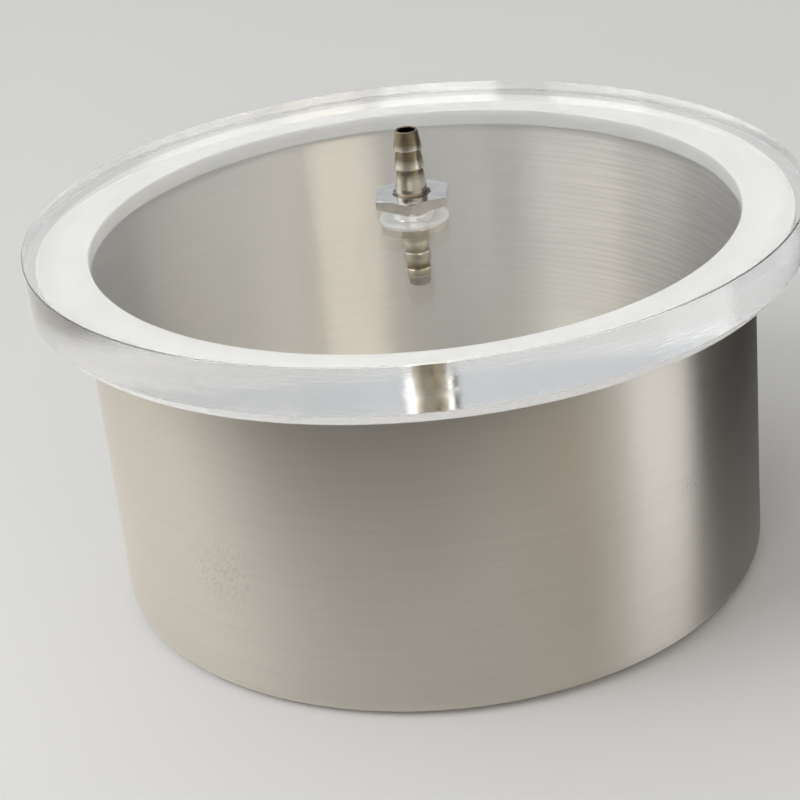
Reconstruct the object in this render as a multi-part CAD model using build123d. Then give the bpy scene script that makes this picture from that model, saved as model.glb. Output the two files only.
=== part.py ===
"""Small bench vacuum chamber: a drawn steel pot, a gasket on its rim and a clear lid.

Millimetres, +Z up. The origin is the middle of the pot's flat base, on the surface
that the chamber stands on. A double-ended hose barb passes through the middle of the
lid: its flange and a sealing washer sit under the lid, and a lock nut holds it on top.
"""
from build123d import *
import os

# --- pot: one drawn sheet of stainless steel
POT_DIAMETER = 144.0          # outside, at the rim
POT_HEIGHT = 71.6             # from the base to the trimmed rim
POT_WALL = 0.8                # sheet thickness
POT_TAPER = 0.6               # how much smaller the radius is at the foot
POT_CORNER = 4.0              # outside radius between wall and floor
RIM_ROUND = 0.25              # deburred edges of the trimmed rim

# --- gasket: moulded silicone ring, grooved to push on the rim
GASKET_FLANGE_WIDTH = 8.4     # how far the flange stands out from the groove
GASKET_FLANGE = 2.8           # thickness of that flange
GASKET_LIP = 1.7              # thickness of the lip inside the rim
GASKET_ABOVE_RIM = 1.4        # silicone between the rim and the lid
GASKET_LIP_DROP = 1.2         # how far the inner lip hangs below the flange
GASKET_GROOVE_GAP = 0.1       # clearance on each side of the sheet in the groove
GASKET_ROUND = 0.5            # moulded edge radius

# --- lid: cast acrylic disc
LID_MARGIN = 2.5              # how far the lid stands out past the gasket
LID_THICKNESS = 10.0
LID_EDGE = 0.4                # polished chamfer round both faces
LID_HOLE_GAP = 0.3            # clearance round the barb's shank

# --- hose barb: one turned piece with tapered rings at both ends
BARB_BORE = 3.8
SHANK_WALL = 2.0              # from the bore to the thread through the lid
SHANK_ABOVE_NUT = 1.5         # thread left showing above the lock nut
FLANGE_WIDTH = 3.3            # how far the flange under the lid stands out
FLANGE_HEIGHT = 1.8
UPPER_ROOT_WALL = 0.85        # wall at the thin end of the ring nearest the lid
UPPER_TIP_WALL = 0.55         # wall at the thin end of the ring at the tip
UPPER_RISE = 1.3              # how much wider a ring's shoulder is than its thin end
UPPER_RING = 4.1              # length of one ring
UPPER_RINGS = 3
LOWER_ROOT_WALL = 0.55        # the same sizes for the stem inside the chamber
LOWER_TIP_WALL = 0.35
LOWER_RISE = 0.9
LOWER_RING = 3.7
LOWER_RINGS = 3
LOWER_COLLAR = 1.5            # plain length between flange and highest ring

# --- lock nut and sealing washer
NUT_WALL = 3.6                # from the thread to the nut's flats
NUT_HEIGHT = 2.4
NUT_CHAMFER = 0.35
NUT_TURN = 25.5               # how far the hexagon happens to be turned, degrees
THREAD_GAP = 0.1              # running clearance of nut and washer round the shank
WASHER_WIDTH = 3.5            # how far the washer stands out from the shank
WASHER_THICKNESS = 0.8

# --- diameters that follow from the sizes above
GASKET_OUTER = POT_DIAMETER + 2 * (GASKET_GROOVE_GAP + GASKET_FLANGE_WIDTH)
GASKET_INNER = POT_DIAMETER - 2 * (POT_WALL + GASKET_GROOVE_GAP + GASKET_LIP)
LID_DIAMETER = GASKET_OUTER + 2 * LID_MARGIN
SHANK_DIAMETER = BARB_BORE + 2 * SHANK_WALL
FLANGE_DIAMETER = SHANK_DIAMETER + 2 * FLANGE_WIDTH
WASHER_DIAMETER = SHANK_DIAMETER + 2 * WASHER_WIDTH
NUT_HEX = SHANK_DIAMETER + 2 * NUT_WALL

# --- levels that the pieces share
LID_BOTTOM = POT_HEIGHT + GASKET_ABOVE_RIM
LID_TOP = LID_BOTTOM + LID_THICKNESS
NUT_TOP = LID_TOP + NUT_HEIGHT
FLANGE_TOP = LID_BOTTOM - WASHER_THICKNESS
FLANGE_BOTTOM = FLANGE_TOP - FLANGE_HEIGHT


def turned(outline):
    """A body of revolution about Z from its outline, a list of (radius, height)."""
    profile = Plane.XZ * make_face(Polyline(*outline, close=True))
    return revolve(profile, Axis.Z)


def ring(outer_diameter, inner_diameter, bottom, height):
    """A plain flat ring standing on the level bottom."""
    section = Circle(outer_diameter / 2) - Circle(inner_diameter / 2)
    return extrude(Pos(0, 0, bottom) * section, height)


def circles_of_radius(shape, radius):
    """The circular edges of one radius."""
    circles = shape.edges().filter_by(GeomType.CIRCLE)
    return circles.filter_by(lambda edge: abs(edge.radius - radius) < 1e-3)


def pot():
    """The drawn pot: slightly tapered wall, rounded foot and flat floor."""
    rim_outer = POT_DIAMETER / 2
    foot_outer = rim_outer - POT_TAPER
    rim_inner = rim_outer - POT_WALL
    foot_inner = foot_outer - POT_WALL
    body = turned([(0, 0), (foot_outer, 0), (rim_outer, POT_HEIGHT), (0, POT_HEIGHT)])
    body = fillet(circles_of_radius(body, foot_outer), POT_CORNER)
    space = turned([(0, POT_WALL), (foot_inner, POT_WALL), (rim_inner, POT_HEIGHT), (0, POT_HEIGHT)])
    space = fillet(circles_of_radius(space, foot_inner), POT_CORNER - POT_WALL)
    shell = body - space
    rim_edges = shell.edges().filter_by(GeomType.CIRCLE).group_by(Axis.Z)[-1]
    return fillet(rim_edges, RIM_ROUND)


def gasket():
    """The silicone ring: a wide outer flange, a groove for the rim and an inner lip."""
    flange_bottom = LID_BOTTOM - GASKET_FLANGE
    lip_bottom = flange_bottom - GASKET_LIP_DROP
    outer = GASKET_OUTER / 2
    inner = GASKET_INNER / 2
    groove_outer = POT_DIAMETER / 2 + GASKET_GROOVE_GAP
    groove_inner = POT_DIAMETER / 2 - POT_WALL - GASKET_GROOVE_GAP
    body = turned([
        (inner, lip_bottom), (groove_inner, lip_bottom), (groove_inner, POT_HEIGHT),
        (groove_outer, POT_HEIGHT), (groove_outer, flange_bottom), (outer, flange_bottom),
        (outer, LID_BOTTOM), (inner, LID_BOTTOM)])
    return fillet(circles_of_radius(body, outer), GASKET_ROUND)


def lid():
    """The clear disc with a hole for the barb and polished edges."""
    disc = ring(LID_DIAMETER, SHANK_DIAMETER + 2 * LID_HOLE_GAP, LID_BOTTOM, LID_THICKNESS)
    return chamfer(circles_of_radius(disc, LID_DIAMETER / 2), LID_EDGE)


def barb_rings(base, direction, root_wall, tip_wall, rise, pitch, count):
    """Outline of a run of tapered rings from the level base outwards, thick ends first."""
    points = []
    for index in range(count):
        wall = root_wall + (tip_wall - root_wall) * index / (count - 1)
        thin = BARB_BORE / 2 + wall
        start = base + direction * pitch * index
        points.append((thin + rise / 2, start))
        points.append((thin, start + direction * pitch))
    return points


def hose_barb():
    """The turned barb: rings below, flange, threaded shank and rings above."""
    shank = SHANK_DIAMETER / 2
    shank_top = NUT_TOP + SHANK_ABOVE_NUT
    collar = BARB_BORE / 2 + LOWER_ROOT_WALL
    lower_base = FLANGE_BOTTOM - LOWER_COLLAR
    upper = barb_rings(
        shank_top, 1, UPPER_ROOT_WALL, UPPER_TIP_WALL, UPPER_RISE, UPPER_RING, UPPER_RINGS)
    lower = barb_rings(
        lower_base, -1, LOWER_ROOT_WALL, LOWER_TIP_WALL, LOWER_RISE, LOWER_RING, LOWER_RINGS)
    top = upper[-1][1]
    bottom = lower[-1][1]
    stem = turned(
        [(0, bottom)] + lower[::-1]
        + [(collar, lower_base), (collar, FLANGE_BOTTOM)]
        + [(FLANGE_DIAMETER / 2, FLANGE_BOTTOM), (FLANGE_DIAMETER / 2, FLANGE_TOP)]
        + [(shank, FLANGE_TOP), (shank, shank_top)]
        + upper + [(0, top)])
    return stem - extrude(Pos(0, 0, bottom) * Circle(BARB_BORE / 2), top - bottom)


def lock_nut():
    """The hexagon nut on the lid, its corners turned off at top and bottom."""
    outline = Rot(0, 0, NUT_TURN) * RegularPolygon(NUT_HEX / 2, 6, major_radius=False)
    block = extrude(Pos(0, 0, LID_TOP) * outline, NUT_HEIGHT)
    flat = NUT_HEX / 2
    corner = NUT_HEX / 3 ** 0.5
    envelope = turned([
        (0, LID_TOP), (flat, LID_TOP), (corner, LID_TOP + NUT_CHAMFER),
        (corner, NUT_TOP - NUT_CHAMFER), (flat, NUT_TOP), (0, NUT_TOP)])
    hole = extrude(Pos(0, 0, LID_TOP) * Circle(SHANK_DIAMETER / 2 + THREAD_GAP), NUT_HEIGHT)
    return (block & envelope) - hole


def sealing_washer():
    """The soft flat ring between the barb's flange and the lid."""
    return ring(WASHER_DIAMETER, SHANK_DIAMETER + 2 * THREAD_GAP, FLANGE_TOP, WASHER_THICKNESS)


NODES = {
    "chamber_pot": pot(),
    "rim_gasket": gasket(),
    "clear_lid": lid(),
    "hose_barb": hose_barb(),
    "lock_nut": lock_nut(),
    "sealing_washer": sealing_washer(),
}

os.makedirs("parts", exist_ok=True)
for name, solid in NODES.items():
    export_step(solid, f"parts/{name}.step")
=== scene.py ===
"""Vacuum chamber: a brushed steel pot, a silicone ring, a clear lid and a plated hose barb.

The packed model gives every place and outer size. Each operator models one piece over its
solid, in metres, and the last one sets the floor, the light and the camera.
"""

from math import cos, pi, radians, sin

import bpy
from mathutils import Matrix, Vector


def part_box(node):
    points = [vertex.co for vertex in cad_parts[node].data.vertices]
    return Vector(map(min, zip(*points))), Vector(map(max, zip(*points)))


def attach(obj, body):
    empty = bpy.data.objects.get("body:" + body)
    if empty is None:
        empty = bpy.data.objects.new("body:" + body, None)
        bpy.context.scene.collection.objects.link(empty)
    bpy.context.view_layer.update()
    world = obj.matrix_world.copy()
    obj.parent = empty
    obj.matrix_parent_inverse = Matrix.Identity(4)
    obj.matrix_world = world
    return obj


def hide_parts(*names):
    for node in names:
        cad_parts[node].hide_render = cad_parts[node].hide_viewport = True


bl_info = {
    "name": "Vacuum Chamber",
    "version": (1, 0, 0),
    "blender": (4, 5, 0),
    "location": "View3D > Sidebar > Vacuum Chamber",
    "description": "Models a small vacuum chamber with a clear lid and a hose barb",
    "category": "Object",
}

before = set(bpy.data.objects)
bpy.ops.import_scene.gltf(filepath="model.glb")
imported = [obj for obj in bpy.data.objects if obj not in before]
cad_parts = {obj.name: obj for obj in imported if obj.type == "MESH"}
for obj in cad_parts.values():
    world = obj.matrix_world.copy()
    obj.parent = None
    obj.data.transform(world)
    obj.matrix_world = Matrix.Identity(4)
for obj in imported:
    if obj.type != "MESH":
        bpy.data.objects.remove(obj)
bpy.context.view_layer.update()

MM = 0.001
AIR = 0.03 * MM               # the film of air between two faces that touch
MERGE = 0.001 * MM            # points nearer than this are one
SMOOTH_ANGLE = radians(35)
SHARP_ANGLE = radians(30)     # edges sharper than this are rounded
RINGS = 3                     # rings on each end of the barb
POT_STEPS = 288               # faces round the pot and the gasket
CORNER_STEPS = 12             # faces across the pot's foot
LID_STEPS = 384
SMALL_STEPS = 96              # faces round the barb, the nut and the washer
THREAD_STEPS = 64             # faces in one turn of the thread


def colour_property(name, description, default):
    """A colour that the sidebar can change."""
    return bpy.props.FloatVectorProperty(
        name=name, description=description, subtype="COLOR", size=3,
        min=0.0, max=1.0, default=default)


def length_property(name, description, default):
    """A length in metres that the sidebar can change."""
    return bpy.props.FloatProperty(
        name=name, description=description, unit="LENGTH", min=0.0, precision=5, default=default)


class PotSettings(bpy.types.PropertyGroup):
    """Sizes and colour of the steel pot."""
    wall: length_property("Wall", "Thickness of the drawn sheet", 0.8 * MM)
    taper: length_property("Taper", "How much smaller the radius is at the foot", 0.6 * MM)
    corner: length_property("Corner", "Outside radius between wall and floor", 4.0 * MM)
    rim_round: length_property("Rim round", "Radius of the deburred rim", 0.25 * MM)
    steel: colour_property("Steel", "Colour of the brushed steel", (0.745, 0.712, 0.65))


class GasketSettings(bpy.types.PropertyGroup):
    """Sizes and colour of the silicone ring."""
    flange: length_property("Flange", "Thickness of the outer flange", 2.8 * MM)
    lip: length_property("Lip", "Thickness of the lip inside the rim", 1.7 * MM)
    gap: length_property("Gap", "Clearance on each side of the rim", 0.1 * MM)
    edge: length_property("Edge", "Radius of the moulded edges", 0.4 * MM)
    silicone: colour_property("Silicone", "Colour of the milky silicone", (0.73, 0.73, 0.73))


class LidSettings(bpy.types.PropertyGroup):
    """Sizes and colour of the clear lid."""
    hole_gap: length_property("Hole gap", "Clearance round the shank", 0.3 * MM)
    edge: length_property("Edge", "Width of the turned chamfers", 0.25 * MM)
    acrylic: colour_property("Acrylic", "Tint of the clear sheet", (0.985, 0.995, 0.995))


class BarbSettings(bpy.types.PropertyGroup):
    """Sizes and colours of the hose barb, its nut and its washer."""
    bore: length_property("Bore", "Diameter of the air way", 3.8 * MM)
    shank: length_property("Shank", "Diameter of the thread", 7.8 * MM)
    shank_above_nut: length_property("Thread shown", "Thread above the nut", 1.5 * MM)
    pitch: length_property("Pitch", "Distance from one thread to the next", 1.0 * MM)
    thread_depth: length_property("Thread depth", "Depth of the thread", 0.5 * MM)
    flange_height: length_property("Flange", "Height of the flange under the lid", 1.8 * MM)
    upper_root: length_property("Upper root", "Thin end of the lowest upper ring", 5.5 * MM)
    upper_tip: length_property("Upper tip", "Thin end of the topmost ring", 4.9 * MM)
    upper_rise: length_property("Upper rise", "How much wider a shoulder is", 1.3 * MM)
    lower_root: length_property("Lower root", "Thin end of the highest lower ring", 4.9 * MM)
    lower_tip: length_property("Lower tip", "Thin end of the lowest ring", 4.5 * MM)
    lower_rise: length_property("Lower rise", "How much wider a shoulder is", 0.9 * MM)
    lower_collar: length_property("Lower collar", "Plain length under the flange", 1.5 * MM)
    nut_hex: length_property("Nut", "Width across the nut's flats", 15.0 * MM)
    nut_chamfer: length_property("Nut chamfer", "Height of the turned corners", 0.35 * MM)
    nut_turn: bpy.props.FloatProperty(
        name="Nut turn", description="How far the hexagon is turned", subtype="ANGLE",
        default=radians(25.5))
    # On the barb the plate colour also paints the highlight on the ring edges, and the brass colour
    # also paints the shade between the rings and on the thread.
    plate_and_highlight: colour_property("Bright plate", "Colour of the rubbed plate", (0.82, 0.79, 0.70))
    brass_tarnish_and_shade: colour_property(
        "Tarnished brass", "Colour between the barb's rings", (0.30, 0.245, 0.165))
    plated_nut: colour_property("Plated nut", "Colour of the nut", (0.80, 0.80, 0.79))


# ---------------------------------------------------------------- modelling helpers

def start_piece():
    """Leaves edit mode and deselects everything before a new primitive."""
    if bpy.context.object and bpy.context.object.mode != "OBJECT":
        bpy.ops.object.mode_set(mode="OBJECT")
    bpy.ops.object.select_all(action="DESELECT")


def name_piece(name):
    """Names the object that was just added and its mesh."""
    piece = bpy.context.object
    piece.name = name
    piece.data.name = name
    return piece


def turned_piece(name, outline, steps):
    """A ring or stem turned round Z from a closed outline of (radius, height) points."""
    start_piece()
    bpy.ops.mesh.primitive_plane_add(size=MM, location=(0, 0, 0))
    piece = name_piece(name)
    bpy.ops.object.mode_set(mode="EDIT")
    bpy.ops.mesh.select_all(action="SELECT")
    bpy.ops.mesh.merge(type="CENTER")
    bpy.ops.mesh.select_all(action="SELECT")
    radius, height = outline[0]
    bpy.ops.transform.translate(value=(radius, 0, height))
    for next_radius, next_height in outline[1:] + outline[:1]:
        step = (next_radius - radius, 0, next_height - height)
        bpy.ops.mesh.extrude_vertices_move(TRANSFORM_OT_translate={"value": step})
        radius, height = next_radius, next_height
    bpy.ops.mesh.select_all(action="SELECT")
    bpy.ops.mesh.remove_doubles(threshold=MERGE)
    bpy.ops.mesh.select_all(action="SELECT")
    bpy.ops.mesh.spin(steps=steps, angle=2 * pi, center=(0, 0, 0), axis=(0, 0, 1))
    bpy.ops.mesh.select_all(action="SELECT")
    bpy.ops.mesh.remove_doubles(threshold=MERGE)
    bpy.ops.mesh.normals_make_consistent(inside=False)
    bpy.ops.object.mode_set(mode="OBJECT")
    return piece


def apply_modifier(piece, kind, **values):
    """Adds one modifier to the piece, sets it and applies it."""
    bpy.context.view_layer.objects.active = piece
    modifier = piece.modifiers.new(kind.title(), kind)
    for key, value in values.items():
        setattr(modifier, key, value)
    bpy.ops.object.modifier_apply(modifier=modifier.name)


def round_edges(piece, width, segments=3):
    """Rounds every sharp edge of the piece; one segment makes a chamfer."""
    apply_modifier(
        piece, "BEVEL", width=width, segments=segments, limit_method="ANGLE",
        angle_limit=SHARP_ANGLE, use_clamp_overlap=True)


def select_edges_at(piece, height, tolerance=0.01 * MM):
    """Selects the edges that lie level at one height."""
    bpy.ops.object.mode_set(mode="EDIT")
    bpy.ops.mesh.select_mode(type="EDGE")
    bpy.ops.mesh.select_all(action="DESELECT")
    bpy.ops.object.mode_set(mode="OBJECT")
    vertices = piece.data.vertices
    for edge in piece.data.edges:
        edge.select = all(abs(vertices[v].co.z - height) < tolerance for v in edge.vertices)
    bpy.ops.object.mode_set(mode="EDIT")


def finish_piece(piece, material, node):
    """Smooths the piece, gives it its material and puts it on the body in its solid's place."""
    start_piece()
    piece.select_set(True)
    bpy.context.view_layer.objects.active = piece
    bpy.ops.object.transform_apply(location=True, rotation=True, scale=True)
    bpy.ops.object.shade_smooth_by_angle(angle=SMOOTH_ANGLE)
    apply_modifier(piece, "WEIGHTED_NORMAL", keep_sharp=True, weight=100)
    piece.data.materials.clear()
    piece.data.materials.append(material)
    if node:
        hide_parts(node)
    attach(piece, "root")


# ---------------------------------------------------------------- shader groups

def new_group(name, inputs, outputs):
    """An empty shader group with its sockets, as (group, input node, output node)."""
    group = bpy.data.node_groups.new(name, "ShaderNodeTree")
    for label, kind, default in inputs:
        socket = group.interface.new_socket(label, in_out="INPUT", socket_type=kind)
        socket.default_value = default
    for label, kind in outputs:
        group.interface.new_socket(label, in_out="OUTPUT", socket_type=kind)
    return group, group.nodes.new("NodeGroupInput"), group.nodes.new("NodeGroupOutput")


def math_node(tree, operation, first, second=None):
    """A Math node whose inputs are numbers or sockets; gives its output socket."""
    node = tree.nodes.new("ShaderNodeMath")
    node.operation = operation
    for index, value in enumerate((first, second)):
        if value is None:
            continue
        if isinstance(value, (int, float)):
            node.inputs[index].default_value = value
        else:
            tree.links.new(value, node.inputs[index])
    return node.outputs[0]


def ramp_node(tree, value, low, high, from_value=0.0, to_value=1.0):
    """Maps a value between two limits, clamped, and gives the output socket."""
    node = tree.nodes.new("ShaderNodeMapRange")
    node.inputs["From Min"].default_value = low
    node.inputs["From Max"].default_value = high
    node.inputs["To Min"].default_value = from_value
    node.inputs["To Max"].default_value = to_value
    tree.links.new(value, node.inputs["Value"])
    return node.outputs["Result"]


def noise_node(tree, vector, scale, detail=2.0, roughness=0.5):
    """A noise texture on that vector; gives its value socket."""
    node = tree.nodes.new("ShaderNodeTexNoise")
    node.inputs["Scale"].default_value = scale
    node.inputs["Detail"].default_value = detail
    node.inputs["Roughness"].default_value = roughness
    tree.links.new(vector, node.inputs["Vector"])
    return node.outputs["Fac"]


def object_axes(tree):
    """The object's own X, Y and Z, as sockets."""
    split = tree.nodes.new("ShaderNodeSeparateXYZ")
    place = tree.nodes.new("ShaderNodeTexCoord").outputs["Object"]
    tree.links.new(place, split.inputs[0])
    return split.outputs


def mixed_levels(tree, share, first, second):
    """Goes from one colour socket to another with the share; gives its socket."""
    mix = tree.nodes.new("ShaderNodeMix")
    mix.data_type = "RGBA"
    tree.links.new(share, mix.inputs[0])
    tree.links.new(first, mix.inputs[6])
    tree.links.new(second, mix.inputs[7])
    return mix.outputs[2]


def build_turned_grain():
    """Fine lines and wider bands round Z, as a brush or a lathe leaves them, and the radius."""
    group, given, result = new_group(
        "Turned grain",
        [("Lines per Metre", "NodeSocketFloat", 4000.0), ("Length", "NodeSocketFloat", 1.0)],
        [("Lines", "NodeSocketFloat"), ("Bands", "NodeSocketFloat"),
         ("Radius", "NodeSocketFloat")])
    nodes, links = group.nodes, group.links
    axes = object_axes(group)
    across = math_node(group, "POWER", axes["X"], 2)
    along = math_node(group, "POWER", axes["Y"], 2)
    radius = math_node(group, "SQRT", math_node(group, "ADD", across, along))
    links.new(radius, result.inputs["Radius"])
    safe = math_node(group, "MAXIMUM", radius, 0.0001)
    level = math_node(group, "ADD", axes["Z"], radius)
    turn = math_node(group, "DIVIDE", given.outputs["Length"], safe)
    for output, share, detail in (("Lines", 1.0, 3.0), ("Bands", 0.12, 2.0)):
        joined = nodes.new("ShaderNodeCombineXYZ")
        links.new(math_node(group, "MULTIPLY", axes["X"], turn), joined.inputs["X"])
        links.new(math_node(group, "MULTIPLY", axes["Y"], turn), joined.inputs["Y"])
        count = math_node(group, "MULTIPLY", given.outputs["Lines per Metre"], share)
        links.new(math_node(group, "MULTIPLY", level, count), joined.inputs["Z"])
        value = noise_node(group, joined.outputs[0], 1.0, detail, 0.6)
        links.new(ramp_node(group, value, 0.3, 0.7), result.inputs[output])
    return group


def build_smudges():
    """Soft handling marks: a slow mask from 0 to 1."""
    group, given, result = new_group(
        "Smudges",
        [("Patch Size", "NodeSocketFloat", 0.03)],
        [("Patches", "NodeSocketFloat")])
    place = group.nodes.new("ShaderNodeTexCoord").outputs["Object"]
    scaled = group.nodes.new("ShaderNodeVectorMath")
    scaled.operation = "SCALE"
    group.links.new(place, scaled.inputs[0])
    per_metre = math_node(group, "DIVIDE", 1.0, given.outputs["Patch Size"])
    group.links.new(per_metre, scaled.inputs["Scale"])
    patches = noise_node(group, scaled.outputs[0], 1.0, 3.0)
    group.links.new(ramp_node(group, patches, 0.4, 0.65), result.inputs["Patches"])
    return group


SCRATCH_TURN = (0, radians(-50), radians(-42))
SCRATCH_SIZE = (1 / 1200, 1 / 5200, 1 / 5200)    # length and two widths, in metres


def build_rub_mark():
    """One patch of short slanting scratches at a place on the surface: a mask from 0 to 1."""
    group, given, result = new_group(
        "Rub mark",
        [("Centre", "NodeSocketVector", (0.0, 0.0, 0.0)), ("Radius", "NodeSocketFloat", 0.01)],
        [("Mask", "NodeSocketFloat")])
    place = group.nodes.new("ShaderNodeTexCoord").outputs["Object"]
    away = group.nodes.new("ShaderNodeVectorMath")
    away.operation = "SUBTRACT"
    group.links.new(place, away.inputs[0])
    group.links.new(given.outputs["Centre"], away.inputs[1])
    length = group.nodes.new("ShaderNodeVectorMath")
    length.operation = "LENGTH"
    group.links.new(away.outputs[0], length.inputs[0])
    near = math_node(group, "DIVIDE", length.outputs["Value"], given.outputs["Radius"])
    inside = ramp_node(group, near, 0.35, 1.0, 1.0, 0.0)
    slant = group.nodes.new("ShaderNodeMapping")
    slant.vector_type = "TEXTURE"
    slant.inputs["Rotation"].default_value = SCRATCH_TURN
    slant.inputs["Scale"].default_value = SCRATCH_SIZE
    group.links.new(away.outputs[0], slant.inputs["Vector"])
    hatch = ramp_node(group, noise_node(group, slant.outputs[0], 0.5, 2.0), 0.52, 0.62)
    group.links.new(math_node(group, "MULTIPLY", inside, hatch), result.inputs["Mask"])
    return group


GROUP_BUILDERS = {
    "Turned grain": build_turned_grain,
    "Smudges": build_smudges,
    "Rub mark": build_rub_mark,
}


def place_group(material, name, **values):
    """Puts a shader group in a material with its own values, and gives the node."""
    group = bpy.data.node_groups.get(name) or GROUP_BUILDERS[name]()
    node = material.node_tree.nodes.new("ShaderNodeGroup")
    node.node_tree = group
    for key, value in values.items():
        node.inputs[key.replace("_", " ")].default_value = value
    return node


# ---------------------------------------------------------------- materials

def new_material(name):
    """A material with its Principled shader, as (material, shader)."""
    material = bpy.data.materials.new(name)
    material.use_nodes = True
    return material, material.node_tree.nodes["Principled BSDF"]


def mixed_colour(material, mask, plain, marked):
    """A colour that goes from plain to marked with the mask; gives its socket."""
    node = material.node_tree.nodes.new("ShaderNodeMix")
    node.data_type = "RGBA"
    node.inputs[6].default_value = (*plain, 1)
    node.inputs[7].default_value = (*marked, 1)
    material.node_tree.links.new(mask, node.inputs[0])
    return node.outputs[2]


def add_bump(material, shader, height, distance, strength):
    """Raises the surface by a height mask."""
    bump = material.node_tree.nodes.new("ShaderNodeBump")
    bump.inputs["Distance"].default_value = distance
    bump.inputs["Strength"].default_value = strength
    material.node_tree.links.new(height, bump.inputs["Height"])
    material.node_tree.links.new(bump.outputs["Normal"], shader.inputs["Normal"])
    return bump


def darker(colour, share):
    """The colour at a share of its brightness."""
    return tuple(channel * share for channel in colour)


# The ripple stripes inside the pot are painted shade in the steel's colour, standing for light
# caught by fine ripple marks.
RIPPLE_PITCH = 1.5 * MM
RIPPLE_DRIFT = 6.0            # how far the ripples wander, in radians
RIPPLE_SHADE_SHARE = 0.75
RUB_SHARE = 0.6
RUB_MARKS = (                 # middle and radius of each mark, in metres
    ((-0.0455, -0.0558, 0.0290), 0.0110),
    ((0.0500, -0.0510, 0.0360), 0.0050),
    ((0.0540, -0.0470, 0.0560), 0.0035))


def ripple_painted_shade(material, grain, wall_radius):
    """Painted shade: faint stripes on one side inside the pot, where fine ripple marks left by
    spinning catch the light; a mask from 0 to 1.
    """
    tree = material.node_tree
    axes = object_axes(tree)
    inside = math_node(tree, "LESS_THAN", grain.outputs["Radius"], wall_radius)
    side = ramp_node(tree, axes["X"], 0.015, 0.050)
    high = ramp_node(tree, axes["Z"], 0.010, 0.035)
    rise = math_node(tree, "MULTIPLY", axes["Z"], 2 * pi / RIPPLE_PITCH)
    drift = math_node(tree, "MULTIPLY", grain.outputs["Bands"], RIPPLE_DRIFT)
    wave = math_node(tree, "SINE", math_node(tree, "ADD", rise, drift))
    place = math_node(tree, "MULTIPLY", math_node(tree, "MULTIPLY", inside, side), high)
    return math_node(tree, "MULTIPLY", place, ramp_node(tree, wave, -1.0, 1.0))


def brushed_steel(colour, wall_radius):
    """Steel brushed round the pot, with spinning bands, handling marks, rub marks and painted shade
    in stripes for the ripple marks inside.
    """
    material, shader = new_material("Brushed steel")
    tree = material.node_tree
    grain = place_group(material, "Turned grain", Lines_per_Metre=5200.0, Length=2.2)
    smudges = place_group(material, "Smudges", Patch_Size=0.035)
    rubbed = 0.0
    for centre, radius in RUB_MARKS:
        mark = place_group(material, "Rub mark", Centre=centre, Radius=radius)
        rubbed = math_node(tree, "MAXIMUM", rubbed, mark.outputs["Mask"])
    rubbed = math_node(tree, "MULTIPLY", rubbed, RUB_SHARE)
    ripple_shade = ripple_painted_shade(material, grain, wall_radius)
    ripple_shade = math_node(tree, "MULTIPLY", ripple_shade, RIPPLE_SHADE_SHARE)
    wear_and_painted_light = math_node(tree, "MAXIMUM", rubbed, ripple_shade)
    lines = math_node(tree, "MULTIPLY", grain.outputs["Lines"], 0.6)
    bands = math_node(tree, "MULTIPLY", grain.outputs["Bands"], 0.4)
    tone = math_node(tree, "ADD", lines, bands)
    base = mixed_colour(material, tone, darker(colour, 0.90), colour)
    # This dark colour serves both the rub marks and the painted ripple shade.
    dark = tree.nodes.new("ShaderNodeRGB")
    dark.outputs[0].default_value = (*darker(colour, 0.74), 1)
    marked = mixed_levels(tree, wear_and_painted_light, base, dark.outputs[0])
    tree.links.new(marked, shader.inputs["Base Color"])
    patches = math_node(tree, "MULTIPLY", smudges.outputs["Patches"], 0.03)
    rough = math_node(tree, "ADD", 0.42, math_node(tree, "MULTIPLY", tone, 0.06))
    tree.links.new(math_node(tree, "ADD", rough, patches), shader.inputs["Roughness"])
    add_bump(material, shader, tone, 0.012 * MM, 0.35)
    tangent = tree.nodes.new("ShaderNodeTangent")
    tangent.direction_type = "RADIAL"
    tangent.axis = "Z"
    tree.links.new(tangent.outputs["Tangent"], shader.inputs["Tangent"])
    shader.inputs["Metallic"].default_value = 1.0
    shader.inputs["Anisotropic"].default_value = 1.0
    shader.inputs["Anisotropic Rotation"].default_value = 0.25
    return material


def milky_silicone(colour, name):
    """Soft translucent silicone with a satin skin."""
    material, shader = new_material(name)
    tree = material.node_tree
    smudges = place_group(material, "Smudges", Patch_Size=0.012)
    base = mixed_colour(material, smudges.outputs["Patches"], colour, darker(colour, 0.97))
    tree.links.new(base, shader.inputs["Base Color"])
    rough = ramp_node(tree, smudges.outputs["Patches"], 0.0, 1.0, 0.42, 0.52)
    tree.links.new(rough, shader.inputs["Roughness"])
    shader.inputs["IOR"].default_value = 1.41
    shader.inputs["Subsurface Weight"].default_value = 0.9
    shader.inputs["Subsurface Radius"].default_value = (1.0, 1.0, 1.0)
    shader.inputs["Subsurface Scale"].default_value = 3.0 * MM
    return material


SKIN_DEPTH = 0.02 * MM        # a face this near the side or the hole belongs to it
SIDE_ROUGHNESS = 0.07
CHAMFER_ROUGHNESS = 0.60
HOLE_ROUGHNESS = 0.05
CHAMFER_SHARE = 0.99          # how much of a chamfer's width is matt


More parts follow.
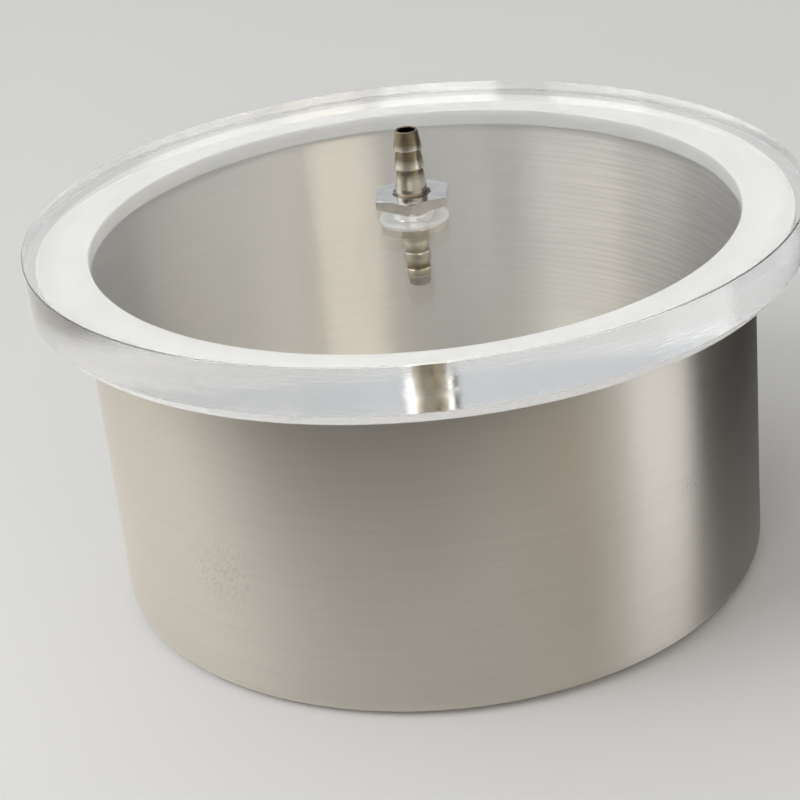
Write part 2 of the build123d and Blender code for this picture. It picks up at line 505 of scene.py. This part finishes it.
def clear_acrylic(colour, outer, edge, hole):
    """Polished acrylic sheet: its side keeps fine turned lines, and its chamfers are matt."""
    material, shader = new_material("Clear acrylic")
    tree = material.node_tree
    smudges = place_group(material, "Smudges", Patch_Size=0.05)
    grain = place_group(material, "Turned grain", Lines_per_Metre=3600.0, Length=1.2)
    radius = grain.outputs["Radius"]
    side = math_node(tree, "GREATER_THAN", radius, outer - SKIN_DEPTH)
    chamfer = math_node(tree, "GREATER_THAN", radius, outer - CHAMFER_SHARE * edge)
    drilled = math_node(tree, "LESS_THAN", radius, hole + SKIN_DEPTH)
    rough = ramp_node(tree, smudges.outputs["Patches"], 0.0, 1.0, 0.004, 0.018)
    turned = math_node(tree, "SUBTRACT", math_node(tree, "MULTIPLY", chamfer, CHAMFER_ROUGHNESS),
                       math_node(tree, "MULTIPLY", side, CHAMFER_ROUGHNESS - SIDE_ROUGHNESS))
    matt = math_node(tree, "ADD", turned, math_node(tree, "MULTIPLY", drilled, HOLE_ROUGHNESS))
    rough = math_node(tree, "MAXIMUM", rough, matt)
    tree.links.new(rough, shader.inputs["Roughness"])
    bump = add_bump(material, shader, grain.outputs["Lines"], 0.006 * MM, 1.0)
    tree.links.new(side, bump.inputs["Strength"])
    shader.inputs["Base Color"].default_value = (*colour, 1)
    shader.inputs["IOR"].default_value = 1.49
    shader.inputs["Transmission Weight"].default_value = 1.0
    return material


# Brown under the first radius is tarnish with painted shade; bright over the second is polish with
# a painted highlight on the ring edges.
POLISH_AND_HIGHLIGHT_RADII = (2.88 * MM, 3.15 * MM)    # brown under the first, bright over the second
LOWER_RINGS_LESS = 0.47 * MM             # how much less the radii are on the lower rings
# The thread gets the brown: tarnish with painted shade.
THREAD_RADII = (3.42 * MM, 4.2 * MM)     # brown between these


def ring_polish_and_highlight(material, grain, level):
    """Where the barb's rings stand proud and are rubbed bright, with a painted highlight on their
    edges: a mask from 0 to 1. The thread and the hollows keep the brown, which is tarnish with
    painted shade.
    """
    tree = material.node_tree
    radius = grain.outputs["Radius"]
    below = math_node(tree, "LESS_THAN", object_axes(tree)["Z"], level)
    less = math_node(tree, "MULTIPLY", below, LOWER_RINGS_LESS)
    proud = ramp_node(tree, math_node(tree, "ADD", radius, less), *POLISH_AND_HIGHLIGHT_RADII)
    thread = math_node(
        tree, "MULTIPLY", math_node(tree, "GREATER_THAN", radius, THREAD_RADII[0]),
        math_node(tree, "LESS_THAN", radius, THREAD_RADII[1]))
    return math_node(tree, "MULTIPLY", proud, math_node(tree, "SUBTRACT", 1.0, thread))


def polish_plate(material, shader, grain, smudges, polish):
    """Gives a plated metal its lathe lines, its duller patches and its polish."""
    tree = material.node_tree
    lines = math_node(tree, "MULTIPLY", grain.outputs["Lines"], 0.08)
    patches = math_node(tree, "MULTIPLY", smudges.outputs["Patches"], 0.05)
    rough = math_node(tree, "ADD", math_node(tree, "ADD", polish, lines), patches)
    tree.links.new(rough, shader.inputs["Roughness"])
    add_bump(material, shader, grain.outputs["Lines"], 0.006 * MM, 0.4)
    shader.inputs["Metallic"].default_value = 1.0


def barb_metal(bright, tarnish_and_shade, level):
    """Nickel plate over turned brass: bright on the rings' edges, as polish with a painted
    highlight, and brown between them, as tarnish with painted shade.
    """
    material, shader = new_material("Nickel plate on the barb")
    tree = material.node_tree
    grain = place_group(material, "Turned grain", Lines_per_Metre=9000.0, Length=0.6)
    smudges = place_group(material, "Smudges", Patch_Size=0.004)
    # This mask paints the highlight on the ring edges and the shade between the rings.
    wear_and_painted_light = ring_polish_and_highlight(material, grain, level)
    stained = mixed_colour(material, smudges.outputs["Patches"], tarnish_and_shade, darker(tarnish_and_shade, 0.8))
    plate = mixed_colour(material, smudges.outputs["Patches"], bright, darker(bright, 0.9))
    tree.links.new(mixed_levels(tree, wear_and_painted_light, stained, plate), shader.inputs["Base Color"])
    polish_plate(material, shader, grain, smudges, 0.10)
    return material


def nut_metal(colour):
    """Bright nickel plate, with fine lathe lines and faint tarnish."""
    material, shader = new_material("Nickel plate on the nut")
    grain = place_group(material, "Turned grain", Lines_per_Metre=7000.0, Length=0.6)
    smudges = place_group(material, "Smudges", Patch_Size=0.004)
    base = mixed_colour(material, smudges.outputs["Patches"], colour, darker(colour, 0.86))
    material.node_tree.links.new(base, shader.inputs["Base Color"])
    polish_plate(material, shader, grain, smudges, 0.05)
    return material


# ---------------------------------------------------------------- pieces

BARB_ROUND = 0.15 * MM
NUT_ROUND = 0.2 * MM
WASHER_ROUND = 0.15 * MM
WASHER_GAP = 0.1 * MM         # between the washer and the thread
WASHER_COLOUR = (0.80, 0.81, 0.81)
NUT_GAP = 0.05 * MM           # between the nut and the thread
NUT_COUNTERSINK = 0.3 * MM
THREAD_ROOT = 0.05 * MM       # how deep the ridge starts inside the shank
CREST_SHARE = 0.06            # half the crest's flat, as a share of the pitch


class CHAMBER_OT_pot(bpy.types.Operator):
    """Models the drawn steel pot"""
    bl_idname = "chamber.pot"
    bl_label = "Steel Pot"

    def execute(self, context):
        settings = context.scene.chamber_pot
        low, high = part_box("chamber_pot")
        rim = (high.x - low.x) / 2
        height = high.z - low.z
        start_piece()
        bpy.ops.mesh.primitive_cone_add(
            vertices=POT_STEPS, radius1=rim - settings.taper, radius2=rim, depth=height,
            end_fill_type="NGON", location=(0, 0, low.z + height / 2))
        piece = name_piece("steel_pot")
        bpy.ops.object.transform_apply(location=True)
        bpy.ops.object.mode_set(mode="EDIT")
        bpy.ops.mesh.select_mode(type="FACE")
        bpy.ops.mesh.select_all(action="DESELECT")
        bpy.ops.object.mode_set(mode="OBJECT")
        for face in piece.data.polygons:
            face.select = face.normal.z > 0.9
        bpy.ops.object.mode_set(mode="EDIT")
        bpy.ops.mesh.delete(type="ONLY_FACE")
        select_edges_at(piece, low.z)
        bpy.ops.mesh.bevel(offset=settings.corner, segments=CORNER_STEPS, affect="EDGES")
        bpy.ops.object.mode_set(mode="OBJECT")
        apply_modifier(
            piece, "SOLIDIFY", thickness=settings.wall, offset=-1.0, use_even_offset=True,
            use_rim=True)
        select_edges_at(piece, high.z, 0.02 * MM)
        bpy.ops.mesh.bevel(offset=settings.rim_round, segments=3, affect="EDGES")
        bpy.ops.object.mode_set(mode="OBJECT")
        steel = brushed_steel(tuple(settings.steel), rim - (settings.taper + settings.wall) / 2)
        finish_piece(piece, steel, "chamber_pot")
        return {"FINISHED"}


class CHAMBER_OT_gasket(bpy.types.Operator):
    """Models the grooved silicone ring on the rim"""
    bl_idname = "chamber.gasket"
    bl_label = "Silicone Gasket"

    def execute(self, context):
        settings = context.scene.chamber_gasket
        low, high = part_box("rim_gasket")
        pot_low, pot_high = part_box("chamber_pot")
        outer = (high.x - low.x) / 2
        rim = (pot_high.x - pot_low.x) / 2
        groove_outer = rim + settings.gap
        groove_inner = rim - context.scene.chamber_pot.wall - settings.gap
        inner = groove_inner - settings.lip
        top = high.z - AIR
        flange_bottom = high.z - settings.flange
        groove_top = pot_high.z + AIR
        piece = turned_piece("silicone_gasket", [
            (inner, low.z), (groove_inner, low.z), (groove_inner, groove_top),
            (groove_outer, groove_top), (groove_outer, flange_bottom),
            (outer, flange_bottom), (outer, top), (inner, top)], POT_STEPS)
        round_edges(piece, settings.edge)
        silicone = milky_silicone(tuple(settings.silicone), "Milky silicone")
        finish_piece(piece, silicone, "rim_gasket")
        return {"FINISHED"}


class CHAMBER_OT_lid(bpy.types.Operator):
    """Models the clear disc with its hole and turned edges"""
    bl_idname = "chamber.lid"
    bl_label = "Clear Lid"

    def execute(self, context):
        settings = context.scene.chamber_lid
        low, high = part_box("clear_lid")
        outer = (high.x - low.x) / 2
        hole = context.scene.chamber_barb.shank / 2 + settings.hole_gap
        piece = turned_piece("acrylic_lid", [
            (hole, low.z), (outer, low.z), (outer, high.z), (hole, high.z)], LID_STEPS)
        round_edges(piece, settings.edge, 1)
        acrylic = clear_acrylic(tuple(settings.acrylic), outer, settings.edge, hole)
        finish_piece(piece, acrylic, "clear_lid")
        return {"FINISHED"}


def ring_outline(base, direction, root, tip, rise, pitch):
    """Points of the barb's tapered rings from the level base outwards."""
    points = []
    for index in range(RINGS):
        thin = root + (tip - root) * index / (RINGS - 1)
        start = base + direction * pitch * index
        points.append(((thin + rise) / 2, start))
        points.append((thin / 2, start + direction * pitch))
    return points


class CHAMBER_OT_barb(bpy.types.Operator):
    """Models the double-ended hose barb and its thread"""
    bl_idname = "chamber.barb"
    bl_label = "Hose Barb"

    def execute(self, context):
        settings = context.scene.chamber_barb
        low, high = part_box("hose_barb")
        lid_low, lid_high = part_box("clear_lid")
        washer_low, washer_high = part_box("sealing_washer")
        nut_low, nut_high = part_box("lock_nut")
        flange = (high.x - low.x) / 2
        flange_top = washer_low.z
        flange_bottom = flange_top - settings.flange_height
        shank_top = nut_high.z + settings.shank_above_nut
        lower_base = flange_bottom - settings.lower_collar
        upper_pitch = (high.z - shank_top) / RINGS
        lower_pitch = (lower_base - low.z) / RINGS
        core = settings.shank / 2 - settings.thread_depth
        bore = settings.bore / 2
        upper = ring_outline(
            shank_top, 1, settings.upper_root, settings.upper_tip, settings.upper_rise,
            upper_pitch)
        lower = ring_outline(
            lower_base, -1, settings.lower_root, settings.lower_tip, settings.lower_rise,
            lower_pitch)
        outline = [(bore, low.z)] + lower[::-1]
        outline += [(settings.lower_root / 2, lower_base), (settings.lower_root / 2, flange_bottom)]
        outline += [(flange, flange_bottom), (flange, flange_top)]
        outline += [(core, flange_top), (core, shank_top)]
        outline += upper + [(bore, high.z)]
        piece = turned_piece("plated_hose_barb", outline, SMALL_STEPS)
        round_edges(piece, BARB_ROUND)
        brass = barb_metal(
            tuple(settings.plate_and_highlight), tuple(settings.brass_tarnish_and_shade), flange_bottom)
        finish_piece(piece, brass, "hose_barb")
        thread = self.thread(settings, core, flange_top, shank_top)
        finish_piece(thread, brass, None)
        return {"FINISHED"}

    def thread(self, settings, core, bottom, top):
        """One helical ridge wound up the shank."""
        start_piece()
        bpy.ops.mesh.primitive_plane_add(size=MM, location=(0, 0, 0))
        piece = name_piece("shank_thread")
        bpy.ops.object.mode_set(mode="EDIT")
        bpy.ops.mesh.select_all(action="SELECT")
        bpy.ops.mesh.merge(type="CENTER")
        bpy.ops.mesh.select_all(action="SELECT")
        sunk = core - THREAD_ROOT
        crest = settings.shank / 2
        half = settings.pitch / 2
        flat = CREST_SHARE * settings.pitch
        points = [(sunk, 0), (crest, half - flat), (crest, half + flat), (sunk, 2 * half)]
        bpy.ops.transform.translate(value=(sunk, 0, bottom))
        for (radius, level), (next_radius, next_level) in zip(points, points[1:]):
            step = (next_radius - radius, 0, next_level - level)
            bpy.ops.mesh.extrude_vertices_move(TRANSFORM_OT_translate={"value": step})
        bpy.ops.object.mode_set(mode="OBJECT")
        turns = int((top - bottom) / settings.pitch) - 1
        apply_modifier(
            piece, "SCREW", screw_offset=settings.pitch, iterations=turns, steps=THREAD_STEPS,
            render_steps=THREAD_STEPS, use_merge_vertices=True, merge_threshold=MERGE)
        bpy.ops.object.mode_set(mode="EDIT")
        bpy.ops.mesh.select_all(action="SELECT")
        bpy.ops.mesh.remove_doubles(threshold=MERGE)
        bpy.ops.mesh.normals_make_consistent(inside=False)
        bpy.ops.object.mode_set(mode="OBJECT")
        return piece


class CHAMBER_OT_nut(bpy.types.Operator):
    """Models the thin hexagon nut on the lid"""
    bl_idname = "chamber.nut"
    bl_label = "Lock Nut"

    def execute(self, context):
        settings = context.scene.chamber_barb
        low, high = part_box("lock_nut")
        flat = settings.nut_hex / 2
        corner = flat / cos(pi / 6)
        bottom = low.z + AIR
        height = high.z - bottom
        chamfer = settings.nut_chamfer
        hole = settings.shank / 2 + NUT_GAP
        envelope = turned_piece("nut_envelope", [
            (hole, bottom), (flat, bottom), (corner, bottom + chamfer),
            (corner, high.z - chamfer), (flat, high.z), (hole + NUT_COUNTERSINK, high.z),
            (hole, high.z - NUT_COUNTERSINK)], SMALL_STEPS)
        start_piece()
        bpy.ops.mesh.primitive_cylinder_add(
            vertices=6, radius=corner, depth=height, location=(0, 0, bottom + height / 2),
            rotation=(0, 0, settings.nut_turn + pi / 6))
        piece = name_piece("hexagon_nut")
        bpy.ops.object.transform_apply(location=True, rotation=True)
        apply_modifier(piece, "BOOLEAN", operation="INTERSECT", solver="EXACT", object=envelope)
        bpy.data.objects.remove(envelope)
        round_edges(piece, NUT_ROUND)
        finish_piece(piece, nut_metal(tuple(settings.plated_nut)), "lock_nut")
        return {"FINISHED"}


class CHAMBER_OT_washer(bpy.types.Operator):
    """Models the soft sealing washer under the lid"""
    bl_idname = "chamber.washer"
    bl_label = "Sealing Washer"

    def execute(self, context):
        low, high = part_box("sealing_washer")
        outer = (high.x - low.x) / 2
        inner = context.scene.chamber_barb.shank / 2 + WASHER_GAP
        top = high.z - AIR
        bottom = low.z + AIR
        piece = turned_piece("soft_washer", [
            (inner, bottom), (outer, bottom), (outer, top), (inner, top)], SMALL_STEPS)
        round_edges(piece, WASHER_ROUND, 2)
        silicone = milky_silicone(WASHER_COLOUR, "Washer silicone")
        finish_piece(piece, silicone, "sealing_washer")
        return {"FINISHED"}


# ---------------------------------------------------------------- stage

CAMERA_PLACE = Vector((0.0, -0.4373, 0.2451))
CAMERA_YAW = radians(0.614)
CAMERA_PITCH = radians(24.745)
CAMERA_ROLL = radians(-5.218)
CAMERA_LENS = 98.3
CAMERA_SHIFT = (-0.0625, -0.0408)
FLOOR_COLOURS = ((0.615, 0.615, 0.61), (0.605, 0.603, 0.595))
LAMP_DISTANCE = 1.6
TENT_RADIUS = 0.14
TENT_SPLIT = 0.025            # where the upper screen starts
TENT_TOP = 0.083
COOL = (0.96, 0.98, 1.0)
WARM = (1.0, 0.965, 0.90)
SKIN = (1.0, 0.90, 0.76)
PLAIN = (1.0, 1.0, 1.0)
# Bands of light: (degrees from the camera side, brightness, tint)
TENT_BANDS = (
    (-180, 0.75, COOL), (-140, 0.80, COOL), (-110, 0.95, WARM), (-68, 0.95, WARM),
    (-52, 0.55, WARM), (-40, 0.15, WARM), (-28, 0.0, WARM), (6, 0.0, WARM), (20, 0.18, SKIN),
    (36, 0.50, SKIN), (46, 0.90, WARM), (51, 1.8, PLAIN), (67, 1.9, PLAIN), (72, 0.06, PLAIN),
    (90, 0.0, WARM), (150, 0.02, WARM), (165, 0.40, PLAIN), (180, 0.75, COOL))
FOOT_BANDS = (
    (-180, 0.60, COOL), (-90, 1.3, WARM), (-50, 1.3, WARM), (-20, 1.2, WARM),
    (10, 1.1, WARM), (34, 0.55, SKIN), (46, 1.0, PLAIN), (62, 1.2, PLAIN), (70, 0.35, PLAIN),
    (80, 0.02, WARM), (150, 0.05, WARM), (180, 0.60, COOL))
LOW_BANDS = (
    (-180, 0.61, COOL), (-150, 0.54, COOL), (-130, 0.62, PLAIN), (-112, 1.1, PLAIN),
    (-92, 0.90, PLAIN), (-72, 0.30, WARM), (-58, 0.10, WARM), (-8, 0.10, WARM),
    (6, 0.35, SKIN), (38, 0.60, SKIN), (66, 0.50, PLAIN), (84, 0.15, WARM), (132, 0.15, WARM),
    (150, 0.53, PLAIN), (180, 0.61, COOL))
HIGH_BANDS = (
    (-180, 1.0, COOL), (-140, 1.5, COOL), (-90, 1.7, PLAIN), (-60, 1.1, PLAIN),
    (-35, 0.7, PLAIN), (-10, 0.8, WARM), (15, 1.2, WARM), (45, 1.0, SKIN), (75, 0.4, WARM),
    (120, 0.15, PLAIN), (180, 1.0, COOL))
OVERHEAD = 0.88
OPEN_LAMPS = (                # (name, turn, rise, size, power, tint)
    ("lamp_left", -68, 42, 0.9, 12.0, PLAIN), ("lamp_front", -12, 20, 1.0, 7.0, PLAIN))
INSIDE_LAMPS = (              # (turn, rise, size, power, tint)
    (-108, 50, 0.9, 12.5, WARM), (27, 40, 0.6, 11.5, SKIN), (72, 44, 1.1, 8.5, WARM),
    (115, 50, 0.9, 10.0, WARM))


def add_camera():
    """The camera, a little above the lid and slightly rolled."""
    ahead = Vector((
        sin(CAMERA_YAW) * cos(CAMERA_PITCH), cos(CAMERA_YAW) * cos(CAMERA_PITCH),
        -sin(CAMERA_PITCH)))
    level = ahead.cross(Vector((0, 0, 1))).normalized()
    above = level.cross(ahead)
    right = level * cos(CAMERA_ROLL) + above * sin(CAMERA_ROLL)
    up = above * cos(CAMERA_ROLL) - level * sin(CAMERA_ROLL)
    start_piece()
    bpy.ops.object.camera_add()
    camera = bpy.context.object
    camera.name = "Camera"
    turn = Matrix((right, up, -ahead)).transposed().to_4x4()
    camera.matrix_world = Matrix.Translation(CAMERA_PLACE) @ turn
    camera.data.lens = CAMERA_LENS
    camera.data.sensor_width = 36.0
    camera.data.shift_x, camera.data.shift_y = CAMERA_SHIFT
    camera.data.clip_start = 0.01
    bpy.context.scene.camera = camera


def add_floor():
    """A wide pale floor."""
    start_piece()
    bpy.ops.mesh.primitive_grid_add(
        x_subdivisions=8, y_subdivisions=8, size=8.0, location=(0, 1.5, -0.05 * MM))
    floor = name_piece("studio_floor")
    material, shader = new_material("Pale floor")
    smudges = place_group(material, "Smudges", Patch_Size=0.4)
    base = mixed_colour(material, smudges.outputs["Patches"], *FLOOR_COLOURS)
    material.node_tree.links.new(base, shader.inputs["Base Color"])
    shader.inputs["Roughness"].default_value = 0.9
    shader.inputs["Specular IOR Level"].default_value = 0.0
    floor.data.materials.append(material)


def turn_fraction(tree, vector):
    """Where a point lies round Z: 0.5 towards the camera, 0.75 to its right, 0 and 1 behind."""
    split = tree.nodes.new("ShaderNodeSeparateXYZ")
    tree.links.new(vector, split.inputs[0])
    ahead = math_node(tree, "MULTIPLY", split.outputs["Y"], -1)
    angle = math_node(tree, "ARCTAN2", split.outputs["X"], ahead)
    return math_node(tree, "ADD", math_node(tree, "DIVIDE", angle, 2 * pi), 0.5)


def band_colour(tree, fraction, bands):
    """A colour that changes with the angle round Z, from (degrees, colour) bands."""
    ramp = tree.nodes.new("ShaderNodeValToRGB")
    stops = ramp.color_ramp.elements
    while len(stops) < len(bands):
        stops.new(1.0)
    for stop, (degrees, brightness, tint) in zip(stops, bands):
        stop.position = degrees / 360 + 0.5
        stop.color = (*darker(tint, brightness), 1)
    tree.links.new(fraction, ramp.inputs["Fac"])
    return ramp.outputs["Color"]


def add_tent(name, bottom, top, bands):
    """A round screen seen only in reflections, bright and dark where the room is."""
    start_piece()
    bpy.ops.mesh.primitive_cylinder_add(
        vertices=96, radius=TENT_RADIUS, depth=top - bottom, end_fill_type="NOTHING",
        location=(0, 0, (bottom + top) / 2))
    tent = name_piece(name)
    material = bpy.data.materials.new(name)
    material.use_nodes = True
    tree = material.node_tree
    tree.nodes.clear()
    place = tree.nodes.new("ShaderNodeTexCoord").outputs["Object"]
    glow = tree.nodes.new("ShaderNodeEmission")
    tree.links.new(band_colour(tree, turn_fraction(tree, place), bands), glow.inputs["Color"])
    glow.inputs["Strength"].default_value = 1.0
    tree.links.new(glow.outputs[0], tree.nodes.new("ShaderNodeOutputMaterial").inputs[0])
    tent.data.materials.append(material)
    tent.visible_camera = False
    tent.visible_diffuse = False
    tent.visible_transmission = False
    tent.visible_volume_scatter = False
    tent.visible_shadow = False


def add_lamp(name, turn, rise, size, power, tint, only_inside):
    """A soft square lamp, placed by its turn from the camera's side and its rise.

    Some lamps are seen only through the lid, as light on the metal inside the pot.
    """
    turn, rise = radians(turn), radians(rise)
    place = LAMP_DISTANCE * Vector((sin(turn) * cos(rise), -cos(turn) * cos(rise), sin(rise)))
    start_piece()
    bpy.ops.object.light_add(type="AREA", location=place)
    lamp = bpy.context.object
    lamp.name = name
    lamp.rotation_euler = (-place).to_track_quat("-Z", "Y").to_euler()
    lamp.data.size = size
    lamp.data.energy = power
    lamp.data.color = tint
    lamp.visible_glossy = False
    lamp.visible_diffuse = not only_inside


def add_world():
    """A pale surround: one ring of soft bands near the floor, one above it, and the ceiling."""
    world = bpy.data.worlds.new("Studio")
    bpy.context.scene.world = world
    world.use_nodes = True
    tree = world.node_tree
    way = tree.nodes.new("ShaderNodeTexCoord").outputs["Generated"]
    split = tree.nodes.new("ShaderNodeSeparateXYZ")
    tree.links.new(way, split.inputs[0])
    turn = turn_fraction(tree, way)
    rings = mixed_levels(
        tree, ramp_node(tree, split.outputs["Z"], 0.50, 0.62),
        band_colour(tree, turn, LOW_BANDS), band_colour(tree, turn, HIGH_BANDS))
    ceiling = tree.nodes.new("ShaderNodeRGB")
    ceiling.outputs[0].default_value = (*darker(PLAIN, OVERHEAD), 1)
    everything = mixed_levels(
        tree, ramp_node(tree, split.outputs["Z"], 0.80, 0.90), rings, ceiling.outputs[0])
    background = tree.nodes["Background"]
    tree.links.new(everything, background.inputs["Color"])
    background.inputs["Strength"].default_value = 1.0


class CHAMBER_OT_stage(bpy.types.Operator):
    """Sets the camera, the floor, the surround and the lamps"""
    bl_idname = "chamber.stage"
    bl_label = "Stage"

    def execute(self, context):
        add_camera()
        add_world()
        add_floor()
        for lamp in OPEN_LAMPS:
            add_lamp(*lamp, False)
        for index, lamp in enumerate(INSIDE_LAMPS):
            add_lamp(f"lamp_inside_{index + 1}", *lamp, True)
        add_tent("tent_low", 0.0, TENT_SPLIT, FOOT_BANDS)
        add_tent("tent_high", TENT_SPLIT, TENT_TOP, TENT_BANDS)
        context.scene.cycles.max_bounces = 24
        context.scene.cycles.glossy_bounces = 12
        context.scene.cycles.transmission_bounces = 20
        return {"FINISHED"}


class CHAMBER_PT_sidebar(bpy.types.Panel):
    """Lists the sizes, the colours and the steps"""
    bl_idname = "CHAMBER_PT_sidebar"
    bl_label = "Vacuum Chamber"
    bl_space_type = "VIEW_3D"
    bl_region_type = "UI"
    bl_category = "Vacuum Chamber"

    def draw(self, context):
        for title, pointer in SETTINGS.items():
            box = self.layout.box()
            box.label(text=pointer.__doc__)
            settings = getattr(context.scene, title)
            for key in pointer.__annotations__:
                box.prop(settings, key)
        for operator in OPERATORS:
            self.layout.operator(operator.bl_idname)


SETTINGS = {
    "chamber_pot": PotSettings,
    "chamber_gasket": GasketSettings,
    "chamber_lid": LidSettings,
    "chamber_barb": BarbSettings,
}
OPERATORS = (
    CHAMBER_OT_pot, CHAMBER_OT_gasket, CHAMBER_OT_lid, CHAMBER_OT_barb, CHAMBER_OT_nut,
    CHAMBER_OT_washer, CHAMBER_OT_stage)


def register():
    for settings in SETTINGS.values():
        bpy.utils.register_class(settings)
    for operator in OPERATORS:
        bpy.utils.register_class(operator)
    bpy.utils.register_class(CHAMBER_PT_sidebar)
    for title, pointer in SETTINGS.items():
        setattr(bpy.types.Scene, title, bpy.props.PointerProperty(type=pointer))


def unregister():
    for title in SETTINGS:
        delattr(bpy.types.Scene, title)
    bpy.utils.unregister_class(CHAMBER_PT_sidebar)
    for operator in OPERATORS[::-1]:
        bpy.utils.unregister_class(operator)
    for settings in list(SETTINGS.values())[::-1]:
        bpy.utils.unregister_class(settings)


def main():
    register()
    scene = bpy.context.scene
    scene.view_settings.view_transform = "Standard"
    bpy.ops.chamber.stage()
    bpy.ops.chamber.pot()
    bpy.ops.chamber.gasket()
    bpy.ops.chamber.lid()
    bpy.ops.chamber.barb()
    bpy.ops.chamber.nut()
    bpy.ops.chamber.washer()


if __name__ == "__main__":
    main()
